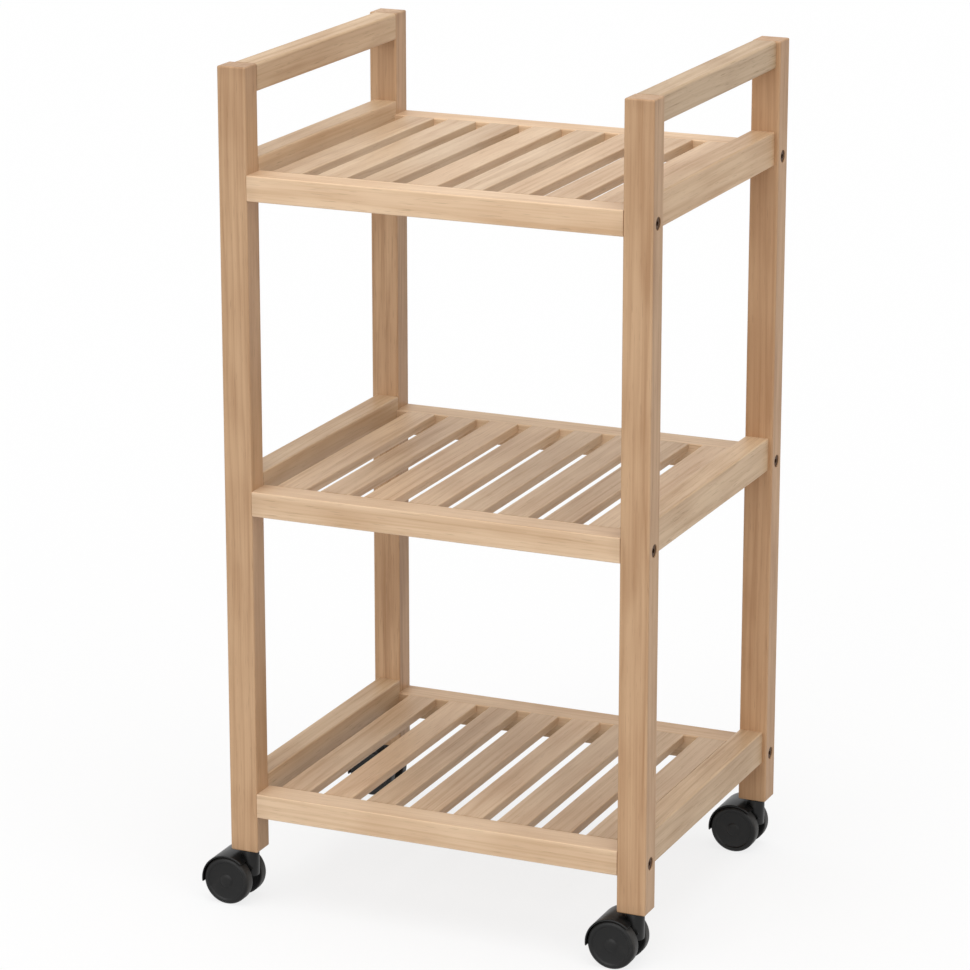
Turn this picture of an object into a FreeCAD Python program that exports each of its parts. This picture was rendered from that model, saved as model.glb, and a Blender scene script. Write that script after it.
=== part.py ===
import FreeCAD, Part
import math
import os

# Wooden utility cart: four legs, three slatted shelves, two side handles and four twin-wheel casters.
# Millimetres. +X runs along the shelves to the right, -Y is the front, +Z is up.
# The origin is on the floor, under the middle of the box round the whole cart.

# Frame
cart_length = 390.0  # over the legs, left to right
cart_depth = 320.0  # over the legs, front to back
leg_height = 695.0
leg_width = 26.0  # left to right
leg_depth = 23.0  # front to back
leg_easing = 1.5  # radius on every edge of a leg
bottom_shelf_height = 33.0  # from the foot of a leg to the underside of the lowest cross rails
hand_gap = 55.0  # between a top side rail and the handle over it

# Side rails and handles, their inner faces flush with the legs
side_rail_thickness = 22.0
side_rail_height = 30.0
side_rail_rise = 4.0  # from the underside of the cross rails to that of the side rails
side_rail_easing = 1.5
handle_height = 24.0
handle_easing = 2.5
tenon_length = 8.0
tenon_thickness = 10.0
tenon_height = 12.0
tenon_top_shoulder = 4.0  # from the top of a rail or handle down to its tenon

# Cross rails at the front and back, their outer faces flush with the legs
cross_rail_depth = 26.0
cross_rail_height = 22.0
cross_rail_easing = 1.2

# Slats between the cross rails, their tops flush with them
slat_width = 27.6
slat_thickness = 8.0
slat_gap = 13.6
least_end_gap = 7.0  # from the outermost slat to the side rail
slat_easing = 1.0
tongue_length = 6.0
tongue_thickness = 4.0
tongue_inset = 2.0  # from each side of a slat to its tongue

glue_gap = 0.1  # round a tenon or tongue in its mortise

# Connector bolts, sunk in the legs' outer side faces and screwed into the ends of the cross rails
bolt_radius = 3.0
bolt_head_radius = 5.5
bolt_head_thickness = 2.5
bolt_sink = 0.8  # from the leg's face down to the head
bolt_grip = 30.0  # length in the rail
bolt_clearance = 0.2  # round the head and shank in the leg
thread_gap = 0.05  # round the shank in the rail
pilot_extra = 2.0  # depth of the rail's hole past the bolt's tip
key_radius = 2.3  # corner radius of the hexagon socket
key_depth = 1.6

# Twin-wheel casters, trailing to the left
wheel_radius = 21.5
caster_width = 38.0  # over both wheels
caster_trail = 15.0  # from the stem back to the axle
core_width = 16.0  # hood's middle, between the wheels
core_front_angle = 25.0  # degrees round the axle, from straight ahead and over the top
wheel_side_gap = 0.5  # from the core to a wheel
hood_clearance = 0.8  # from the tread to the hood
hood_thickness = 1.4
hood_headroom = 4.3  # from the top of the hood to the leg
hood_front_angle = 50.0
hood_back_angle = 188.0
hood_easing = 0.8
axle_radius = 2.5
axle_boss_wall = 4.0
axle_end_gap = 0.4

# Wheel section
tread_easing = 3.0  # radius at the tread's outer edge
inner_easing = 1.0  # radius at the tread's inner edge
rim_thickness = 4.0
hub_wall = 4.0  # of the hub round the axle
inner_recess = 3.5
dish_depth = 1.2  # of the outer face inside its rim
dish_slope = 1.0  # run of the dish's sloping sides
cap_radius = 5.0  # of the raised middle of the outer face
cap_rise = 0.8  # of the middle over the dish
cap_thickness = 3.0  # of wheel left over the end of the axle

# Caster stems, fixed in the feet of the legs
stem_radius = 4.0
stem_depth = 26.0  # in the leg
stem_reach = 23.0  # below the leg
collar_radius = 7.0
collar_thickness = 1.2
neck_radius = 3.3  # of the groove that keeps the hood on
neck_height = 2.4
neck_lift = 3.0  # from the tip of the stem up to the groove
column_floor = 2.0  # of hood left below the stem
swivel_gap = 0.2  # between flat faces that turn past each other
running_clearance = 0.05  # round a stem or axle that turns in its bore
seat_gap = 0.02  # round a stem or axle that is pressed in

overrun = 2.0  # of every cut past the face that it opens

# Directions
Vector = FreeCAD.Vector
origin = Vector(0, 0, 0)
along = Vector(1, 0, 0)
across = Vector(0, 1, 0)
up = Vector(0, 0, 1)

# Places worked out from the sizes
hood_radius = wheel_radius + hood_clearance + hood_thickness
foot_height = wheel_radius + hood_radius + hood_headroom
leg_top = foot_height + leg_height
reach_left = caster_trail + hood_radius - leg_width / 2
frame_left = (reach_left - cart_length) / 2
frame_right = frame_left + cart_length
frame_front = -cart_depth / 2
frame_back = cart_depth / 2
inner_left = frame_left + leg_width
inner_right = frame_right - leg_width
inner_front = frame_front + leg_depth
inner_back = frame_back - leg_depth
rail_inner_front = frame_front + cross_rail_depth
rail_inner_back = frame_back - cross_rail_depth
handle_level = leg_top - handle_height
bottom_level = foot_height + bottom_shelf_height
top_level = handle_level - hand_gap - side_rail_height - side_rail_rise
shelf_levels = {
    "bottom": bottom_level,
    "middle": (bottom_level + top_level) / 2,
    "top": top_level,
}
side_corners = {"left": inner_left - side_rail_thickness, "right": inner_right}
leg_corners = {
    "front_left": Vector(frame_left, frame_front, foot_height),
    "front_right": Vector(inner_right, frame_front, foot_height),
    "back_left": Vector(frame_left, inner_back, foot_height),
    "back_right": Vector(inner_right, inner_back, foot_height),
}
slat_pitch = slat_width + slat_gap
clear_length = inner_right - inner_left
slat_count = int((clear_length - 2 * least_end_gap + slat_gap) // slat_pitch)
first_slat = (inner_left + inner_right - slat_count * slat_pitch + slat_gap) / 2
slat_corners = [first_slat + number * slat_pitch for number in range(slat_count)]
wheel_width = (caster_width - core_width) / 2 - wheel_side_gap
axle_centre = Vector(-caster_trail, 0, wheel_radius)
bore_depth = wheel_width - cap_thickness
axle_length = core_width + 2 * (wheel_side_gap + bore_depth - axle_end_gap)
stem_tip = foot_height - stem_reach
collar_level = foot_height - collar_thickness


def eased_stick(size, corner, easing, direction):
    """Make a stick of wood whose four long edges are rounded."""
    stick = Part.makeBox(size.x, size.y, size.z, corner)
    long_edges = [edge for edge in stick.Edges if abs(edge.Curve.Direction.dot(direction)) > 0.5]
    return stick.makeFillet(easing, long_edges)


def grown_box(size, corner, gap):
    """Make a box that stands out by a gap on every side."""
    growth = Vector(gap, gap, gap)
    grown_size = size + growth * 2
    return Part.makeBox(grown_size.x, grown_size.y, grown_size.z, corner - growth)


def tenon_bar(side, rail_top, gap):
    """Make the bar whose two ends are the tenons of a side rail or handle."""
    size = Vector(tenon_thickness, inner_back - inner_front + 2 * tenon_length, tenon_height)
    inset = (side_rail_thickness - tenon_thickness) / 2
    tenon_level = rail_top - tenon_top_shoulder - tenon_height
    corner = Vector(side_corners[side] + inset, inner_front - tenon_length, tenon_level)
    return grown_box(size, corner, gap)


def side_bar(side, level, height, easing):
    """Make a side rail or handle between the front and back legs, with its tenons."""
    size = Vector(side_rail_thickness, inner_back - inner_front, height)
    bar = eased_stick(size, Vector(side_corners[side], inner_front, level), easing, across)
    return bar.fuse(tenon_bar(side, level + height, 0)).removeSplitter()


def tongue_bar(slat_corner, level, gap):
    """Make the bar whose two ends are the tongues of a slat."""
    size = Vector(
        slat_width - 2 * tongue_inset,
        rail_inner_back - rail_inner_front + 2 * tongue_length,
        tongue_thickness,
    )
    tongue_level = level + cross_rail_height - (slat_thickness + tongue_thickness) / 2
    corner = Vector(slat_corner + tongue_inset, rail_inner_front - tongue_length, tongue_level)
    return grown_box(size, corner, gap)


def slat(slat_corner, level):
    """Make a slat with a tongue on each end."""
    size = Vector(slat_width, rail_inner_back - rail_inner_front, slat_thickness)
    corner = Vector(slat_corner, rail_inner_front, level + cross_rail_height - slat_thickness)
    board = eased_stick(size, corner, slat_easing, across)
    return board.fuse(tongue_bar(slat_corner, level, 0)).removeSplitter()


def bolt_places(level):
    """List where the bolts of one shelf enter the legs, and the way in which they point."""
    bolt_level = level + cross_rail_height / 2
    front = frame_front + leg_depth / 2
    back = frame_back - leg_depth / 2
    places = []
    for outer_face, inward in ((frame_left, along), (frame_right, -along)):
        for middle in (front, back):
            places.append((Vector(outer_face, middle, bolt_level), inward))
    return places


def bolt(place, inward):
    """Make a flat-headed connector bolt with a hexagon socket."""
    face = place + inward * bolt_sink
    head = Part.makeCylinder(bolt_head_radius, bolt_head_thickness, face, inward)
    shank_length = leg_width + bolt_grip - bolt_sink - bolt_head_thickness
    shank = Part.makeCylinder(bolt_radius, shank_length, face + inward * bolt_head_thickness, inward)
    socket_corners = []
    for corner in range(7):
        turn = math.radians(60 * corner)
        spoke = across * math.cos(turn) + up * math.sin(turn)
        socket_corners.append(face - inward * overrun + spoke * key_radius)
    socket = Part.Face(Part.makePolygon(socket_corners)).extrude(inward * (overrun + key_depth))
    return head.fuse(shank).removeSplitter().cut(socket)


def bolt_room(place, inward):
    """Make the counterbore and holes that a bolt goes into."""
    seat_depth = bolt_sink + bolt_head_thickness
    counterbore = Part.makeCylinder(
        bolt_head_radius + bolt_clearance, overrun + seat_depth, place - inward * overrun, inward
    )
    leg_hole = Part.makeCylinder(bolt_radius + bolt_clearance, leg_width, place, inward)
    pilot = Part.makeCylinder(
        bolt_radius + thread_gap, bolt_grip + pilot_extra, place + inward * leg_width, inward
    )
    return counterbore.fuse([leg_hole, pilot])


def leg(corner, sockets):
    """Make a leg with every edge rounded, then cut its mortises and holes."""
    stick = Part.makeBox(leg_width, leg_depth, leg_height, corner)
    stick = stick.makeFillet(leg_easing, stick.Edges)
    return stick.cut(sockets)


def cross_rail(corner_y, level, sockets):
    """Make a front or back rail with mortises for the slats and pilot holes for the bolts."""
    size = Vector(clear_length, cross_rail_depth, cross_rail_height)
    corner = Vector(inner_left, corner_y, level)
    return eased_stick(size, corner, cross_rail_easing, along).cut(sockets)


def ring(outer_radius, inner_radius, level, height):
    """Make an upright ring round the stem's axis."""
    outer = Part.makeCylinder(outer_radius, height, up * level)
    return outer.cut(Part.makeCylinder(inner_radius, height, up * level))


def stem():
    """Make a caster's steel stem: a pin with a collar under the leg and a groove near its tip."""
    pin = Part.makeCylinder(stem_radius, stem_reach + stem_depth, up * stem_tip)
    collar = Part.makeCylinder(collar_radius, collar_thickness, up * collar_level)
    groove = ring(stem_radius + overrun, neck_radius, stem_tip + neck_lift, neck_height)
    return pin.fuse(collar).removeSplitter().cut(groove)


def stem_hole():
    """Make the hole for a stem in the foot of a leg."""
    hole_depth = stem_depth + swivel_gap
    return Part.makeCylinder(stem_radius + seat_gap, overrun + hole_depth, up * (foot_height - overrun))


def round_axle(radius, angle):
    """Give the point at an angle in degrees round the axle, from straight ahead and over the top."""
    turn = math.radians(angle)
    return axle_centre + along * (radius * math.cos(turn)) + up * (radius * math.sin(turn))


def axle_arc(radius, start, end):
    """Make an arc round the axle."""
    points = [round_axle(radius, angle) for angle in (start, (start + end) / 2, end)]
    return Part.Arc(*points).toShape()


def widened(edges, width):
    """Fill an outline in the caster's middle plane and give it a width."""
    face = Part.Face(Part.Wire(edges))
    face.translate(across * (-width / 2))
    return face.extrude(across * width)


def fender():
    """Make the hood's curved cover over both wheels."""
    tread_room = wheel_radius + hood_clearance
    cover = widened([
        axle_arc(hood_radius, hood_front_angle, hood_back_angle),
        Part.makeLine(round_axle(hood_radius, hood_back_angle), round_axle(tread_room, hood_back_angle)),
        axle_arc(tread_room, hood_back_angle, hood_front_angle),
        Part.makeLine(round_axle(tread_room, hood_front_angle), round_axle(hood_radius, hood_front_angle)),
    ], caster_width)
    outer_face = max(cover.Faces, key=lambda face: face.Area)
    return cover.makeFillet(hood_easing, outer_face.Edges)


def core():
    """Make the hood's middle between the wheels, from the axle up into the cover."""
    web_radius = hood_radius - hood_thickness / 2
    web = widened([
        axle_arc(web_radius, core_front_angle, hood_back_angle),
        Part.makeLine(round_axle(web_radius, hood_back_angle), axle_centre),
        Part.makeLine(axle_centre, round_axle(web_radius, core_front_angle)),
    ], core_width)
    boss_radius = axle_radius + axle_boss_wall
    boss = Part.makeCylinder(boss_radius, core_width, axle_centre - across * (core_width / 2), across)
    column_foot = stem_tip - swivel_gap - column_floor
    column_height = collar_level - swivel_gap - column_foot
    column = Part.makeCylinder(core_width / 2, column_height, up * column_foot)
    return web.fuse([boss, column])


def hood():
    """Make a caster's hood, with the bore that snaps onto the stem and the hole for the axle."""
    bore_radius = stem_radius + running_clearance
    bore = Part.makeCylinder(bore_radius, stem_reach + swivel_gap, up * (stem_tip - swivel_gap))
    ridge = ring(
        bore_radius + overrun,
        neck_radius + running_clearance,
        stem_tip + neck_lift + swivel_gap,
        neck_height - 2 * swivel_gap,
    )
    axle_hole = Part.makeCylinder(
        axle_radius + seat_gap, caster_width, axle_centre - across * (caster_width / 2), across
    )
    whole = fender().fuse(core()).removeSplitter()
    return whole.cut([bore.cut(ridge), axle_hole])


def axle():
    """Make the steel axle of a caster."""
    return Part.makeCylinder(axle_radius, axle_length, axle_centre - across * (axle_length / 2), across)


def corner_arc(corner, before, after, radius):
    """Make the arc that rounds a square corner, given the directions before and after it."""
    middle = corner - (before - after) * (radius * (1 - math.sqrt(0.5)))
    return Part.Arc(corner - before * radius, middle, corner + after * radius).toShape()


def wheel():
    """Make a wheel by turning its section, with its inner face at the origin and its outer face at +Y."""
    bore_radius = axle_radius + running_clearance
    hub_radius = bore_radius + hub_wall
    rim_radius = wheel_radius - rim_thickness
    dish_floor = wheel_width - dish_depth
    cap_top = dish_floor + cap_rise

    def point(radius, depth):
        return along * radius + across * depth

    inner_side = [
        point(0, cap_top),
        point(0, bore_depth),
        point(bore_radius, bore_depth),
        point(bore_radius, 0),
        point(hub_radius, 0),
        point(hub_radius, inner_recess),
        point(rim_radius, inner_recess),
        point(rim_radius, 0),
        point(wheel_radius - inner_easing, 0),
    ]
    outer_side = [
        point(wheel_radius - tread_easing, wheel_width),
        point(rim_radius, wheel_width),
        point(rim_radius - dish_slope, dish_floor),
        point(cap_radius + dish_slope, dish_floor),
        point(cap_radius, cap_top),
        point(0, cap_top),
    ]
    edges = [Part.makeLine(start, end) for start, end in zip(inner_side, inner_side[1:])]
    edges.append(corner_arc(point(wheel_radius, 0), along, across, inner_easing))
    edges.append(Part.makeLine(
        point(wheel_radius, inner_easing), point(wheel_radius, wheel_width - tread_easing)
    ))
    edges.append(corner_arc(point(wheel_radius, wheel_width), across, -along, tread_easing))
    edges += [Part.makeLine(start, end) for start, end in zip(outer_side, outer_side[1:])]
    return Part.Face(Part.Wire(edges)).revolve(origin, across, 360)


def placed_wheel(stem_place, side):
    """Set a wheel on the axle, on the front (-1) or back (+1) side of the core."""
    turned = wheel()
    if side < 0:
        turned.rotate(origin, up, 180)
    inner_face = core_width / 2 + wheel_side_gap
    return turned.translated(stem_place + axle_centre + across * (side * inner_face))


def save(name, shape):
    """Write one piece, or one group of like fasteners, to its own file."""
    shape.exportStep(f"parts/{name}.step")


os.makedirs("parts", exist_ok=True)

# Connector bolts, four to a shelf
bolt_lines = [line for level in shelf_levels.values() for line in bolt_places(level)]
bolt_rooms = [bolt_room(*line) for line in bolt_lines]
save("shelf_bolts", Part.makeCompound([bolt(*line) for line in bolt_lines]))

# Side rails and handles
tenon_rooms = []
for side in side_corners:
    tenon_rooms.append(tenon_bar(side, leg_top, glue_gap))
    save(f"handle_{side}", side_bar(side, handle_level, handle_height, handle_easing))
    for shelf, level in shelf_levels.items():
        rail_level = level + side_rail_rise
        tenon_rooms.append(tenon_bar(side, rail_level + side_rail_height, glue_gap))
        save(f"side_rail_{shelf}_{side}", side_bar(side, rail_level, side_rail_height, side_rail_easing))

# Cross rails and slats
for shelf, level in shelf_levels.items():
    tongue_rooms = [tongue_bar(slat_corner, level, glue_gap) for slat_corner in slat_corners]
    rail_rooms = tongue_rooms + bolt_rooms
    save(f"front_rail_{shelf}", cross_rail(frame_front, level, rail_rooms))
    save(f"back_rail_{shelf}", cross_rail(rail_inner_back, level, rail_rooms))
    for number, slat_corner in enumerate(slat_corners, start=1):
        save(f"slat_{shelf}_{number}", slat(slat_corner, level))

# Legs and casters
stems = []
for corner_name, corner in leg_corners.items():
    stem_place = Vector(corner.x + leg_width / 2, corner.y + leg_depth / 2, 0)
    stems.append(stem().translated(stem_place))
    leg_rooms = tenon_rooms + bolt_rooms + [stem_hole().translated(stem_place)]
    save(f"leg_{corner_name}", leg(corner, leg_rooms))
    save(f"caster_hood_{corner_name}", hood().translated(stem_place))
    save(f"caster_axle_{corner_name}", axle().translated(stem_place))
    save(f"wheel_{corner_name}_1", placed_wheel(stem_place, -1))
    save(f"wheel_{corner_name}_2", placed_wheel(stem_place, 1))
save("caster_stems", Part.makeCompound(stems))
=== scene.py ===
# %% [markdown]
# # A wooden utility cart
# This lesson dresses a cart that was built in CAD: four legs, three slatted shelves, two handles and
# four casters. The solids come in at their real size and stay where they are. Blender adds what makes
# them look real: the camera, the light, the wood's grain and the finely moulded casters.

# %% Load the solids
import math
import random
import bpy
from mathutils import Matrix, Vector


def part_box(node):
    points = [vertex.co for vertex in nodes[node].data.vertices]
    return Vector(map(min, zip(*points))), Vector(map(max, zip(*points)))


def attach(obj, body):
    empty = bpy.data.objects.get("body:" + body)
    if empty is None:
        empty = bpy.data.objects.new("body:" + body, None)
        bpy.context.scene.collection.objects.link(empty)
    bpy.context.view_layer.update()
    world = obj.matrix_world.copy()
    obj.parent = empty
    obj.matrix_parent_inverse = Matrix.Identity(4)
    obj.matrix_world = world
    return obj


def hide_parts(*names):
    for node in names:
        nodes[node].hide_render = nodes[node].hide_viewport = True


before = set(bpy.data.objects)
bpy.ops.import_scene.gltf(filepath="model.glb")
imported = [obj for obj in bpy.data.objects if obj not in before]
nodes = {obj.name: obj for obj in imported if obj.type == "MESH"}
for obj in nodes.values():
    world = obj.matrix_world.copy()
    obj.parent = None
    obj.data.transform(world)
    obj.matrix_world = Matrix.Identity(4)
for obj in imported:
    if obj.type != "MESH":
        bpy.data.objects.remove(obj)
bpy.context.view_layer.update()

from types import SimpleNamespace

import bpy
from mathutils import Vector

# %% [markdown]
# ## The camera
# The cart is seen from the front and a little from the right, from above the top shelf. A long lens
# from a few metres away keeps the legs nearly upright in the picture, so no lens shift is needed.
# The camera is placed by two angles and a distance from the point that it looks at.

# %% Place the camera
view_azimuth = math.radians(23.68)
view_elevation = math.radians(16.12)
view_distance = 3.5
view_target = Vector((-0.009, 0.0, 0.360))
lens_length = 148.5

camera_data = bpy.data.cameras.new("camera")
camera_data.lens = lens_length
camera = bpy.data.objects.new("camera", camera_data)
bpy.context.scene.collection.objects.link(camera)
backwards = Vector((
    math.sin(view_azimuth) * math.cos(view_elevation),
    -math.cos(view_azimuth) * math.cos(view_elevation),
    math.sin(view_elevation),
))
camera.location = view_target + backwards * view_distance
camera.rotation_euler = backwards.to_track_quat("Z", "Y").to_euler()
bpy.context.scene.camera = camera
print("camera at", [round(value, 2) for value in camera.location])

# %% [markdown]
# ## Values that work like numbers
# A material is a small sum: stretch this noise, raise it to a power, mix two browns by it. Wiring each
# step by hand hides the sum. So a wire between nodes gets Python's operators, and every plus or times
# on it adds a Math node.


# %% Wires
class Wire:
    """A value on its way through a material. Arithmetic on it adds Math nodes."""

    def __init__(self, finish, socket):
        self.finish = finish
        self.socket = socket

    def __add__(self, other):
        return self.finish.maths("ADD", self, other)

    def __radd__(self, other):
        return self.finish.maths("ADD", other, self)

    def __sub__(self, other):
        return self.finish.maths("SUBTRACT", self, other)

    def __rsub__(self, other):
        return self.finish.maths("SUBTRACT", other, self)

    def __mul__(self, other):
        return self.finish.maths("MULTIPLY", self, other)

    def __rmul__(self, other):
        return self.finish.maths("MULTIPLY", other, self)

    def __truediv__(self, other):
        return self.finish.maths("DIVIDE", self, other)

    def __rtruediv__(self, other):
        return self.finish.maths("DIVIDE", other, self)

    def __pow__(self, other):
        return self.finish.maths("POWER", self, other)

    def __rpow__(self, other):
        return self.finish.maths("POWER", other, self)

    def __abs__(self):
        return self.finish.maths("ABSOLUTE", self)


print("wires take plus, minus, times, divide and power")

# %% [markdown]
# ## Finishes
# What is no plain arithmetic is a node of another kind. They all come from one method, which makes the
# node, sets it up and plugs it in. The short methods after it name the nodes that this cart needs.


# %% Finishes
class Finish:
    """The nodes of a material, or of the world, in the making."""

    def __init__(self, owner):
        owner.use_nodes = True
        self.owner = owner
        self.tree = owner.node_tree
        self.shader = self.tree.nodes.get("Principled BSDF")

    def plug(self, socket, value):
        """Put a wire or a plain value into a socket."""
        if isinstance(value, Wire):
            self.tree.links.new(value.socket, socket)
        else:
            socket.default_value = value

    def node(self, kind, settings=None, sockets=None, output=0):
        """Add a node: its settings first, then its sockets. Give back one of its outputs, or several."""
        made = self.tree.nodes.new("ShaderNode" + kind)
        for name, value in (settings or {}).items():
            if name == "stops":
                for stop, (place, grey) in enumerate(value):
                    if stop >= len(made.color_ramp.elements):
                        made.color_ramp.elements.new(place)
                    made.color_ramp.elements[stop].position = place
                    made.color_ramp.elements[stop].color = (grey, grey, grey, 1.0)
            else:
                setattr(made, name, value)
        for name, value in (sockets or {}).items():
            self.plug(made.inputs[name], value)
        if isinstance(output, tuple):
            return [Wire(self, made.outputs[name]) for name in output]
        return Wire(self, made.outputs[output])

    def maths(self, operation, *values):
        return self.node("Math", {"operation": operation}, dict(enumerate(values)))

    def vector(self, operation, first, second):
        return self.node("VectorMath", {"operation": operation}, {0: first, 1: second})

    def step(self, value, start, end):
        """Rise smoothly from 0 to 1 while the value goes from start to end."""
        settings = {"interpolation_type": "SMOOTHSTEP"}
        return self.node("MapRange", settings, {0: value, 1: start, 2: end})

    def noise(self, place, scale, detail=2.0, roughness=0.5):
        """Noise between 0 and 1 at a place, stretched by a scale along each axis."""
        stretched = self.vector("MULTIPLY", place, scale)
        return self.node("TexNoise", {}, {
            "Vector": stretched, "Scale": 1.0, "Detail": detail, "Roughness": roughness,
        })

    def mix(self, amount, first, second):
        """Mix two colours."""
        return self.node("Mix", {"data_type": "RGBA"}, {0: amount, 6: first, 7: second}, output=2)

    def bump(self, height, strength, distance):
        return self.node("Bump", {}, {"Height": height, "Strength": strength, "Distance": distance})

    def viewed(self):
        """Give 1 where the camera sees the surface, straight, mirrored or through glass, and 0 elsewhere."""
        straight, mirrored, through = self.node(
            "LightPath", output=("Is Camera Ray", "Is Glossy Ray", "Is Transmission Ray")
        )
        return self.maths("MINIMUM", straight + mirrored + through, 1.0)

    def give(self, **inputs):
        """Set the shader's own sockets. Underscores in a name stand for spaces."""
        for name, value in inputs.items():
            self.plug(self.shader.inputs[name.replace("_", " ")], value)
        return self.owner


def new_finish(name):
    """Start a material."""
    return Finish(bpy.data.materials.new(name))


def dress(piece, material):
    """Make a material the only one of a piece."""
    piece.data.materials.clear()
    piece.data.materials.append(material)


print("finishes can be made and put on")

# %% [markdown]
# ## Colours
# A colour is picked on a screen, where its numbers are spread to suit the eye. Light adds up on a
# linear scale, and a shader works on that one, so each picked colour is converted first.


# %% Colours
def paint(red, green, blue):
    """Turn a colour as seen on screen, 0 to 255, into the linear colour that a shader works with."""
    shares = [channel / 255 for channel in (red, green, blue)]
    linear = [((share + 0.055) / 1.055) ** 2.4 for share in shares]
    return (*linear, 1.0)


def toned(colour, share):
    """Make a linear colour darker, or paler by a share over 1."""
    return (*(channel * share for channel in colour[:3]), 1.0)


def warmer(colour, share):
    """Give a linear colour more red and less blue."""
    red, green, blue = colour[:3]
    return (red * share, green, blue / share, 1.0)


print("mid grey is", round(paint(128, 128, 128)[0], 3), "on the linear scale")

# %% [markdown]
# ## The room
# The cart stands on a plain pale floor under soft light. Three broad suns stand in for softboxes: the
# strongest above, so that each shelf shades the one below, one in front, and a weaker one on the right.
# The world fills the shadows. The floor shows the camera mostly plain white, so the picture stays
# clean, but it keeps a soft shadow. The light that it throws back up is that of a grey floor, because
# a white one would light the undersides and the slots between the slats too brightly.

# %% Floor
floor_span = 60.0
floor_glow = 0.80
floor_grey = (0.58, 0.58, 0.58, 1.0)
floor_white = (0.86, 0.86, 0.86, 1.0)
white = (1.0, 1.0, 1.0, 1.0)

bpy.ops.object.select_all(action="DESELECT")
bpy.ops.mesh.primitive_plane_add(size=floor_span, location=(0.0, 0.0, 0.0))
floor = bpy.context.object
floor.name = "floor"
floor_paint = new_finish("floor_paint")
seen = floor_paint.viewed()
floor_colour = floor_paint.mix(seen, floor_grey, floor_white)
floor_paint.give(Base_Color=floor_colour, Roughness=0.9, Specular_IOR_Level=0.1)
lit = Wire(floor_paint, floor_paint.shader.outputs[0])
glow = floor_paint.node("Emission", {}, {"Color": white, "Strength": 1.0})
shown = floor_paint.node("MixShader", {}, {0: seen * floor_glow, 1: lit, 2: glow})
floor_paint.plug(floor_paint.tree.nodes["Material Output"].inputs["Surface"], shown)
dress(floor, floor_paint.owner)
print("floor:", floor_span, "m square")

# %% World and lamps
sky_fill = 0.40

world = bpy.data.worlds.new("studio")
bpy.context.scene.world = world
sky = Finish(world)
backdrop = sky.tree.nodes["Background"]
sky.plug(backdrop.inputs["Color"], white)
sky.plug(backdrop.inputs["Strength"], sky_fill + sky.viewed() * (1.0 - sky_fill))


def soft_sun(name, towards, strength, spread):
    """Add a sun whose light travels in a given direction, spread over so many degrees of sky."""
    lamp = bpy.data.lights.new(name, "SUN")
    lamp.energy = strength
    lamp.angle = math.radians(spread)
    holder = bpy.data.objects.new(name, lamp)
    holder.rotation_euler = Vector(towards).to_track_quat("-Z", "Y").to_euler()
    bpy.context.scene.collection.objects.link(holder)


soft_sun("top_softbox", towards=(0.0, 0.15, -1.0), strength=1.70, spread=60)
soft_sun("front_softbox", towards=(0.15, 1.0, -0.35), strength=1.00, spread=50)
soft_sun("right_softbox", towards=(-0.80, 0.35, -0.55), strength=0.60, spread=50)
bpy.context.scene.view_settings.view_transform = "Standard"
print("lamps:", [lamp.name for lamp in bpy.data.lights])

# %% [markdown]
# ## The wood
# Every stick of the cart was sawn from a log, so its grain is the log's rings, cut along. A flat picture
# of wood would break at each corner. Here each stick gets its own log instead: rings are distances from
# a pith that runs along the stick, a little outside it, bent by slow noise. One rule then gives long
# stripes on the faces, arches where the saw met a bend, and curved rings on the ends.
# Fibres and pores are noise stretched along the stick. A thin oil gives the wood a soft sheen, which is
# why faces seen at a low angle look paler and greyer than faces seen straight on.

# %% Rings
ring_width = 0.0062
ring_bend = 0.030
ring_waver = 0.9
least_ring_share = 0.35
growth_stops = [(0.0, 0.25), (0.16, 0.0), (0.62, 0.30), (0.90, 1.0), (1.0, 0.25)]
bend_stretch = (2.6, 11.0, 11.0)
waver_stretch = (7.0, 90.0, 90.0)


def rings_in(wood, in_log, from_pith):
    """Give the dark late growth of the rings, first alike in every ring, then stronger in some."""
    bend = (wood.noise(in_log, bend_stretch, detail=1.5) - 0.5) * ring_bend
    waver = (wood.noise(in_log, waver_stretch) - 0.5) * ring_waver
    rings = (from_pith + bend) / ring_width + waver
    late_growth = wood.node("ValToRGB", {"stops": growth_stops}, {0: wood.maths("FRACT", rings)})
    ring_number = wood.maths("FLOOR", rings)
    strength = wood.node("TexWhiteNoise", {"noise_dimensions": "1D"}, {"W": ring_number})
    return late_growth, late_growth * (least_ring_share + (1.0 - least_ring_share) * strength)


print("a ring is", ring_width * 1000, "mm wide")

# %% Fibres and pores
fibre_stretch = (7.0, 520.0, 520.0)
streak_stretch = (3.0, 110.0, 110.0)
cloud_stretch = (9.0, 30.0, 30.0)
pore_stretch = (48.0, 1500.0, 1500.0)
pore_range = (0.64, 0.74)


def grain_in(wood, in_log, from_pith):
    """Give all that the grain is made of, drawn out along the stick."""
    late_growth, rings = rings_in(wood, in_log, from_pith)
    return SimpleNamespace(
        late_growth=late_growth,
        rings=rings,
        fibres=wood.noise(in_log, fibre_stretch, detail=3.0, roughness=0.65),
        streaks=wood.noise(in_log, streak_stretch, detail=2.0),
        clouds=wood.noise(in_log, cloud_stretch, detail=2.0),
        pores=wood.step(wood.noise(in_log, pore_stretch, detail=1.0), *pore_range),
    )


print("a fibre is", round(fibre_stretch[1] / fibre_stretch[0]), "times as long as it is wide")

# %% Tint
ring_share = 0.36
fibre_share = 0.28
streak_share = 0.34
cloud_share = 0.42
pore_share = 0.40
pore_tone_share = 0.55
fibre_range = (0.42, 0.72)
streak_range = (0.45, 0.75)
cloud_range = (0.35, 0.70)


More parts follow.
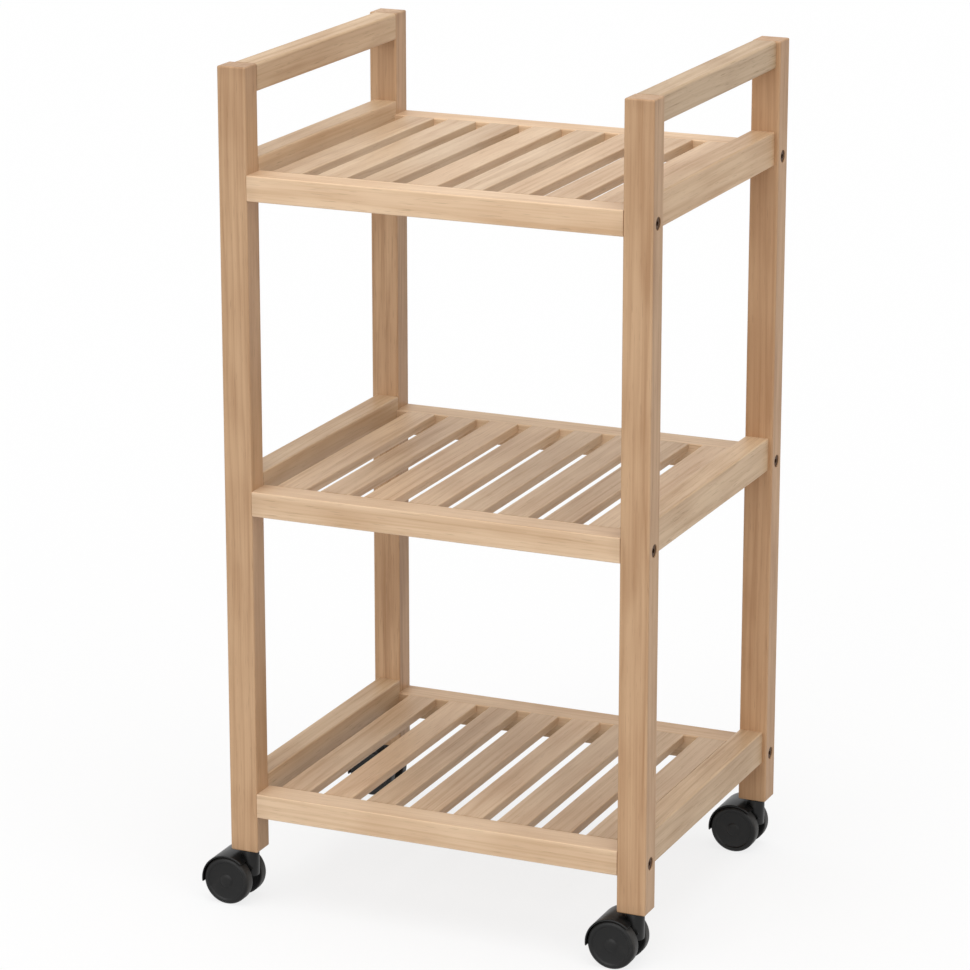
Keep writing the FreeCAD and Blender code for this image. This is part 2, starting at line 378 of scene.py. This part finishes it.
def tinted(wood, grain, pale, brown):
    """Mix two browns by the grain, and darken its pores."""
    fibre_tint = wood.step(grain.fibres, *fibre_range) * fibre_share
    streak_tint = wood.step(grain.streaks, *streak_range) * streak_share
    cloud_tint = wood.step(grain.clouds, *cloud_range) * cloud_share
    tint = grain.rings * ring_share + fibre_tint + streak_tint + cloud_tint
    colour = wood.mix(wood.maths("MINIMUM", tint, 1.0), pale, brown)
    return wood.mix(grain.pores * pore_share, colour, toned(brown, pore_tone_share))


print("shares of rings, fibres, streaks and clouds:", ring_share, fibre_share, streak_share, cloud_share)

# %% [markdown]
# ## Use and joints
# New wood is too even. Hands and cloths polish the edges paler, here and there. At the ends of a stick,
# where it meets the next, painted shade stands in for the shade that falls in a joint, with a little dirt.
# Both are found by how far a point lies from the sides or ends of its stick, and broken up by the grain's
# own clouds and streaks.

# %% Wear and painted joint shade
edge_wear_width = 0.0028
edge_wear_share = 0.30
edge_tone_share = 1.10
worn_cloud_range = (0.30, 0.60)
joint_shade_width = 0.014
joint_shade_share = 0.22
joint_tone_share = 0.70
shade_and_dirt_streak_range = (0.2, 0.7)


def worn_and_joint_shaded(wood, grain, colour, pale, brown, to_edge, to_end):
    """Paler along a stick's edges for wear, darker at its ends for painted shade and dirt."""
    near_edge = 1.0 - wood.step(to_edge, 0.0, edge_wear_width)
    at_edge = near_edge * wood.step(grain.clouds, *worn_cloud_range)
    colour = wood.mix(at_edge * edge_wear_share, colour, toned(pale, edge_tone_share))
    # Painted shade, mixed with a little dirt, at the ends of a stick where it meets its joints.
    near_end = 1.0 - wood.step(to_end, 0.0, joint_shade_width)
    at_joint = near_end * wood.step(grain.streaks, *shade_and_dirt_streak_range)
    return wood.mix(at_joint * joint_shade_share, colour, toned(brown, joint_tone_share))


print("wear reaches", edge_wear_width * 1000, "mm in from an edge")

# %% [markdown]
# ## One stick
# A stick takes its middle, its sides and the way of its grain from its own solid. A seeded draw gives it
# a tone and a place in its log, so no two sticks match, and the same ones come out each time.

# %% Draw a tone and a place in the log
tone_range = (0.91, 1.07)
warmth_range = (0.985, 1.025)
brown_range = (0.92, 1.06)
pith_nearest = 0.030
pith_furthest = 0.110
log_spread = 40.0
log_draw = random.Random(10264)


def draw_tones(pale, brown):
    """Draw how dark and how warm a stick is, and give its two browns."""
    tone = log_draw.uniform(*tone_range)
    warmth = log_draw.uniform(*warmth_range)
    brown_tone = tone * log_draw.uniform(*brown_range)
    return warmer(toned(pale, tone), warmth), warmer(toned(brown, brown_tone), warmth)


def draw_log():
    """Draw how far the pith lies from a stick, across and upward, and a place in the log."""
    pith_angle = log_draw.uniform(0.0, 2.0 * math.pi)
    pith_distance = log_draw.uniform(pith_nearest, pith_furthest)
    log_place = tuple(log_draw.uniform(0.0, log_spread) for axis in range(3))
    return pith_distance * math.cos(pith_angle), pith_distance * math.sin(pith_angle), log_place


print("eight draws give a stick its tone and its place in the log")

# %% One stick
grain_turns = ((0.0, 0.0, 0.0), (0.0, 0.0, -math.pi / 2), (0.0, math.pi / 2, 0.0))
grain_sides = ((0, 1, 2), (1, 0, 2), (2, 1, 0))
wood_roughness = 0.38
fibre_roughness = 0.16
pore_roughness = 0.10
wood_reflection = 0.35
fibre_relief_share = 0.5
ring_relief_share = 0.25
relief_strength = 0.20
relief_depth = 0.0004


def wood_finish(name, pale, brown):
    """Make the finish of one stick, with the grain along its longest side."""
    pale, brown = draw_tones(pale, brown)
    pith_across, pith_upward, log_place = draw_log()
    low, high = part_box(name)
    half = (high - low) / 2
    long_side = max(range(3), key=lambda side: half[side])
    half_length, half_width, half_height = (half[side] for side in grain_sides[long_side])

    wood = new_finish("wood_" + name)
    here = wood.node("TexCoord", output="Object")
    centred = wood.vector("SUBTRACT", here, (low + high) / 2)
    turned = wood.node("Mapping", {}, {"Vector": centred, "Rotation": grain_turns[long_side]})
    along, across, upward = wood.node("SeparateXYZ", {}, {0: turned}, output=("X", "Y", "Z"))
    from_pith = ((across + pith_across) ** 2.0 + (upward + pith_upward) ** 2.0) ** 0.5
    grain = grain_in(wood, wood.vector("ADD", turned, log_place), from_pith)
    colour = tinted(wood, grain, pale, brown)
    to_edge = wood.maths("MAXIMUM", half_width - abs(across), half_height - abs(upward))
    to_end = half_length - abs(along)
    relief = grain.fibres * fibre_relief_share - grain.pores + grain.late_growth * ring_relief_share
    return wood.give(
        Base_Color=worn_and_joint_shaded(wood, grain, colour, pale, brown, to_edge, to_end),
        Roughness=wood_roughness + fibre_roughness * grain.fibres + pore_roughness * grain.pores,
        Specular_IOR_Level=wood_reflection,
        Normal=wood.bump(relief, relief_strength, relief_depth),
    )


print("depth of the grain's bump:", relief_depth * 1000, "mm")

# %% Give each stick its wood
wood_tones = {
    "front_rail": (paint(232, 201, 167), paint(202, 165, 128)),
    "back_rail": (paint(226, 196, 162), paint(198, 160, 122)),
    "slat": (paint(217, 189, 157), paint(185, 149, 114)),
    "side_rail": (paint(212, 183, 149), paint(178, 142, 105)),
    "handle": (paint(204, 175, 141), paint(168, 133, 96)),
    "leg": (paint(197, 161, 125), paint(163, 123, 87)),
}
wooden = [name for name in nodes if name.startswith(tuple(wood_tones))]
for name in sorted(wooden):
    kind = next(kind for kind in wood_tones if name.startswith(kind))
    dress(nodes[name], wood_finish(name, *wood_tones[kind]))
print("pieces of wood:", len(wooden))

# %% [markdown]
# ## Tools for modelling
# Blender's operators act on whatever is selected, as when one works by hand. So each helper first drops
# the selection and then picks its own piece, or the faces of it that a rule chooses. A piece is made at
# its place, and the place then goes into its vertices, because the solids sit at the origin too.

# %% Tools to add and copy
crosswise = (math.pi / 2, 0.0, 0.0)
upright = (0.0, 0.0, 0.0)


def apply_place(piece):
    """Move a piece's place, turn and size into its vertices."""
    bpy.ops.object.select_all(action="DESELECT")
    piece.select_set(True)
    bpy.context.view_layer.objects.active = piece
    bpy.ops.object.transform_apply(location=True, rotation=True, scale=True)


def cylinder(radius, length, middle, turn, corners):
    """Add a cylinder at its size and place."""
    bpy.ops.object.select_all(action="DESELECT")
    bpy.ops.mesh.primitive_cylinder_add(
        vertices=corners, radius=radius, depth=length, location=middle, rotation=turn
    )
    made = bpy.context.object
    apply_place(made)
    return made


def copy_piece(source, name, shift, turned_at=None):
    """Copy a piece with a mesh of its own, turned half round if a place to turn it about is given."""
    bpy.ops.object.select_all(action="DESELECT")
    source.select_set(True)
    bpy.context.view_layer.objects.active = source
    bpy.ops.object.duplicate(linked=False)
    made = bpy.context.object
    made.name = name
    if turned_at is not None:
        bpy.ops.transform.rotate(value=math.pi, orient_axis="Z", center_override=turned_at)
    bpy.ops.transform.translate(value=shift)
    apply_place(made)
    return made


def middle_of(name):
    low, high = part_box(name)
    return (low + high) / 2


print("pieces can be added and copied")

# %% Tools to pick and soften
bevel_angle = math.radians(40)
smooth_angle = math.radians(32)


def pick(piece, kind, chosen):
    """Go into edit mode with the vertices or faces of a piece that a rule chooses."""
    for group in (piece.data.vertices, piece.data.edges, piece.data.polygons):
        group.foreach_set("select", [False] * len(group))
    for item in (piece.data.vertices if kind == "VERT" else piece.data.polygons):
        item.select = chosen(item)
    bpy.context.tool_settings.mesh_select_mode = (kind == "VERT", False, kind == "FACE")
    bpy.ops.object.mode_set(mode="EDIT")


def done():
    bpy.ops.object.mode_set(mode="OBJECT")


def soften(piece, width):
    """Bevel a piece's sharp edges a little."""
    bpy.context.view_layer.objects.active = piece
    bpy.ops.object.modifier_add(type="BEVEL")
    bevel = piece.modifiers[-1]
    bevel.width = width
    bevel.segments = 2
    bevel.limit_method = "ANGLE"
    bevel.angle_limit = bevel_angle
    bpy.ops.object.modifier_apply(modifier=bevel.name)


def shade(piece):
    """Shade a piece smooth, except at sharp edges."""
    bpy.ops.object.select_all(action="DESELECT")
    piece.select_set(True)
    bpy.context.view_layer.objects.active = piece
    bpy.ops.object.shade_smooth_by_angle(angle=smooth_angle)


print("edges sharper than", round(math.degrees(bevel_angle)), "degrees get a bevel")

# %% [markdown]
# ## A caster's wheel
# A wheel is moulded nylon: a tread with a round outer edge, a shallow dish in the outer face and a low
# cap over the axle. A turned shape like this could be spun from its section. Working a cylinder is
# nearer to how one thinks of it: round an edge, then step inwards over the face and push it in or out.
# Each step is one inset with a run and a rise, so the list of steps reads like the section itself.
# The CAD wheel gives the place and the size, and the new wheel stands in for it.

# %% Sizes of a wheel
tread_easing = 0.003
inner_easing = 0.001
rim_thickness = 0.004
dish_depth = 0.0012
dish_slope = 0.001
cap_radius = 0.005
cap_rise = 0.0008
cap_crown = 0.0003
crown_shares = ((0.3, 0.6), (0.4, 0.4))
inner_recess = 0.0035
hub_radius = 0.0065
bore_radius = 0.00255
bore_depth = 0.0075
tiny_easing = 0.00025
wheel_corners = 128
about_square = 0.9
quite_square = 0.999

first_wheel = "wheel_front_left_1"
wheel_low, wheel_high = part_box(first_wheel)
wheel_middle = middle_of(first_wheel)
wheel_radius = (wheel_high.z - wheel_low.z) / 2
wheel_width = wheel_high.y - wheel_low.y
rim_radius = wheel_radius - rim_thickness
print("wheel: radius", round(wheel_radius, 4), "width", round(wheel_width, 4))

# %% Steps over the faces of a wheel
outer_steps = (
    (rim_thickness - tread_easing, 0.0),
    (dish_slope, -dish_depth),
    (rim_radius - cap_radius - 2.0 * dish_slope, 0.0),
    (dish_slope, cap_rise),
    *((cap_radius * run, cap_crown * rise) for run, rise in crown_shares),
)
inner_steps = (
    (rim_thickness - inner_easing, 0.0),
    (tiny_easing, -inner_recess),
    (rim_radius - hub_radius - 2.0 * tiny_easing, 0.0),
    (tiny_easing, inner_recess),
    (hub_radius - bore_radius, 0.0),
    (tiny_easing, -bore_depth),
)
print("steps over the outer face:", len(outer_steps), "and over the inner face:", len(inner_steps))

# %% Shape the wheel
wheel = cylinder(wheel_radius, wheel_width, wheel_middle, crosswise, wheel_corners)
wheel.name = "moulded_" + first_wheel
for way, easing, steps in ((-1.0, tread_easing, outer_steps), (1.0, inner_easing, inner_steps)):
    pick(wheel, "FACE", lambda face: face.normal.y * way > about_square)
    bpy.ops.mesh.region_to_loop()
    bpy.ops.mesh.bevel(offset=easing, segments=6, affect="EDGES")
    done()
    pick(wheel, "FACE", lambda face: face.normal.y * way > quite_square)
    for run, rise in steps:
        bpy.ops.mesh.inset(thickness=run, depth=rise)
    done()
soften(wheel, tiny_easing)
shade(wheel)
print("wheel:", len(wheel.data.polygons), "faces")

# %% [markdown]
# ## A caster's hood
# The hood is one moulding of four plain shapes. A curved cover goes over both wheels: its section is a
# small rectangle with rounded outer corners, spun round the axle. A web between the wheels carries it,
# cut from a disc by two planes through the axle. A boss holds the axle, and an upright column turns on
# the stem. Booleans join the four and cut the two bores.

# %% Sizes of a hood
hood_thickness = 0.0014
hood_easing = 0.0007
hood_front_angle = math.radians(50)
hood_back_angle = math.radians(188)
web_front_angle = math.radians(25)
web_inset = 0.0004
boss_radius = 0.0065
column_easing = 0.0008
column_floor = 0.002
stem_bore_radius = 0.00405
axle_bore_radius = 0.00252
cut_overrun = 0.002
spin_steps = 64
round_corners = 96

first_corner = "front_left"
hood_low, hood_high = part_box("caster_hood_" + first_corner)
stem_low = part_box("caster_stems")[0]
stem_place = middle_of("leg_" + first_corner)
axle_place = middle_of("caster_axle_" + first_corner)
caster_width = hood_high.y - hood_low.y
hood_radius = axle_place.x - hood_low.x
core_width = 2.0 * (hood_high.x - stem_place.x)
column_foot = stem_low.z - column_floor
print("hood: radius", round(hood_radius, 4), "width", round(caster_width, 4))


# %% Spin the cover
def outward(angle):
    """Give the direction from the axle at an angle, from straight ahead and over the top."""
    return Vector((math.cos(angle), 0.0, math.sin(angle)))


def from_axle(point):
    return math.hypot(point.x - axle_place.x, point.z - axle_place.z)


section_radius = hood_radius - hood_thickness / 2
section_place = axle_place + outward(hood_front_angle) * section_radius
bpy.ops.object.select_all(action="DESELECT")
bpy.ops.mesh.primitive_plane_add(size=1.0, location=section_place, rotation=(0.0, -hood_front_angle, 0.0))
hood = bpy.context.object
hood.name = "moulded_caster_hood_" + first_corner
hood.scale = (hood_thickness, caster_width, 1.0)
apply_place(hood)
pick(hood, "VERT", lambda vertex: from_axle(vertex.co) > section_radius)
bpy.ops.mesh.bevel(offset=hood_easing, segments=4, affect="VERTICES")
bpy.ops.mesh.select_all(action="SELECT")
bpy.ops.mesh.spin(
    steps=spin_steps, angle=hood_back_angle - hood_front_angle, center=axle_place, axis=(0.0, 1.0, 0.0)
)
bpy.ops.mesh.select_all(action="SELECT")
bpy.ops.mesh.normals_make_consistent(inside=False)
done()
soften(hood, tiny_easing)
print("cover:", len(hood.data.polygons), "faces")


# %% Add the web, the boss and the column
def join(piece, other, operation):
    """Join another solid to a piece, or cut it away."""
    bpy.context.view_layer.objects.active = piece
    bpy.ops.object.modifier_add(type="BOOLEAN")
    boolean = piece.modifiers[-1]
    boolean.operation = operation
    boolean.solver = "EXACT"
    boolean.object = other
    bpy.ops.object.modifier_apply(modifier=boolean.name)
    bpy.data.objects.remove(other)


web = cylinder(section_radius, core_width - 2.0 * web_inset, axle_place, crosswise, round_corners)
for angle, side in ((web_front_angle, 1.0), (hood_back_angle, -1.0)):
    pick(web, "FACE", lambda face: True)
    square_on = outward(angle + math.pi / 2) * side
    bpy.ops.mesh.bisect(plane_co=axle_place, plane_no=square_on, use_fill=True, clear_inner=True)
    done()
boss = cylinder(boss_radius, core_width, axle_place, crosswise, round_corners)
column_height = hood_high.z - column_foot
column_place = Vector((stem_place.x, stem_place.y, column_foot + column_height / 2))
column = cylinder(core_width / 2, column_height, column_place, upright, round_corners)
soften(column, column_easing)
for solid in (web, boss, column):
    join(hood, solid, "UNION")
print("hood with its web, boss and column:", len(hood.data.polygons), "faces")

# %% Bore the hood
bore_length = hood_high.z + cut_overrun - stem_low.z
bore_place = Vector((stem_place.x, stem_place.y, stem_low.z + bore_length / 2))
join(hood, cylinder(stem_bore_radius, bore_length, bore_place, upright, round_corners), "DIFFERENCE")
axle_bore = cylinder(axle_bore_radius, core_width + 2.0 * cut_overrun, axle_place, crosswise, round_corners)
join(hood, axle_bore, "DIFFERENCE")
shade(hood)
print("bored hood:", len(hood.data.polygons), "faces")

# %% [markdown]
# ## Black nylon
# Hoods and wheels are the same black nylon. A fine grain from the mould breaks up its shine. The tread
# has rolled over floors, so it is duller and a little dusty: the finish measures how far each point is
# from the axle and dulls what lies near the rim. Wheels are measured from their own middles, so each
# has a finish of its own.

# %% Finishes of the casters
nylon_black = paint(16, 16, 16)
nylon_dust = paint(84, 80, 76)
nylon_reflection = 0.28
hood_roughness = 0.30
wheel_roughness = 0.34
handled_roughness = 0.12
dust_roughness = 0.4
mould_grain = (2400.0, 2400.0, 2400.0)
mould_grain_strength = 0.25
mould_grain_depth = 0.00008
handling = (70.0, 70.0, 70.0)
handled_range = (0.50, 0.80)
handled_dust_share = 0.10
tread_depth = 0.0016
tread_dust_share = 0.10
tread_patch_share = 0.25


def nylon_finish(name, roughness, axle=None):
    """Make moulded nylon, with a dusty tread if the middle of a wheel is given."""
    nylon = new_finish("nylon_" + name)
    here = nylon.node("TexCoord", output="Object")
    grain = nylon.noise(here, mould_grain, detail=2.0)
    handled = nylon.noise(here, handling, detail=4.0, roughness=0.6)
    dust = nylon.step(handled, *handled_range) * handled_dust_share
    if axle is not None:
        centred = nylon.vector("SUBTRACT", here, axle)
        forward, upward = nylon.node("SeparateXYZ", {}, {0: centred}, output=("X", "Z"))
        radius = (forward ** 2.0 + upward ** 2.0) ** 0.5
        rolled = nylon.step(radius, wheel_radius - tread_depth, wheel_radius)
        dust = dust + rolled * (tread_dust_share + tread_patch_share * handled)
    return nylon.give(
        Base_Color=nylon.mix(dust, nylon_black, nylon_dust),
        Roughness=roughness + handled_roughness * handled + dust_roughness * dust,
        Specular_IOR_Level=nylon_reflection,
        Normal=nylon.bump(grain, mould_grain_strength, mould_grain_depth),
    )


print("dust reaches", tread_depth * 1000, "mm in from the tread")

# %% Set the casters in place
corners = [name.removeprefix("leg_") for name in sorted(nodes) if name.startswith("leg_")]
hood_nylon = nylon_finish("hoods", hood_roughness)
for corner in corners:
    shift = middle_of("leg_" + corner) - stem_place
    if corner == first_corner:
        placed_hood = hood
    else:
        placed_hood = copy_piece(hood, "moulded_caster_hood_" + corner, shift)
    dress(placed_hood, hood_nylon)
    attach(placed_hood, "caster_" + corner)
    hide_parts("caster_hood_" + corner)
    for number in (1, 2):
        name = f"wheel_{corner}_{number}"
        place = middle_of(name)
        turned_at = wheel_middle if number == 2 else None
        if name == first_wheel:
            placed_wheel = wheel
        else:
            placed_wheel = copy_piece(wheel, "moulded_" + name, place - wheel_middle, turned_at)
        dress(placed_wheel, nylon_finish(name, wheel_roughness, place))
        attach(placed_wheel, f"roller_{corner}_{number}")
        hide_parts(name)
print("casters:", len(corners))

# %% [markdown]
# ## Steel
# The bolts are plated dark bronze, the stems and axles zinc. Plating is never even, so slow noise varies
# its shine.

# %% Finishes of the steel pieces
bolt_bronze = paint(92, 68, 50)
stem_zinc = paint(176, 178, 180)
bronze_roughness = 0.42
zinc_roughness = 0.30
plating_patches = (400.0, 400.0, 400.0)
patch_range = (0.4, 0.8)
patch_share = 0.5
patch_tone_share = 0.6
patch_roughness = 0.2


def plated_finish(name, colour, roughness):
    """Make plated steel with a slightly uneven shine."""
    steel = new_finish(name)
    here = steel.node("TexCoord", output="Object")
    patches = steel.noise(here, plating_patches, detail=3.0)
    dulled = steel.step(patches, *patch_range) * patch_share
    return steel.give(
        Base_Color=steel.mix(dulled, colour, toned(colour, patch_tone_share)),
        Metallic=1.0,
        Roughness=roughness + patch_roughness * patches,
    )


dress(nodes["shelf_bolts"], plated_finish("dark_bronze", bolt_bronze, bronze_roughness))
zinc = plated_finish("zinc", stem_zinc, zinc_roughness)
zinc_pieces = [name for name in nodes if name.startswith(("caster_stems", "caster_axle"))]
for name in zinc_pieces:
    dress(nodes[name], zinc)
print("steel pieces:", len(zinc_pieces) + 1)
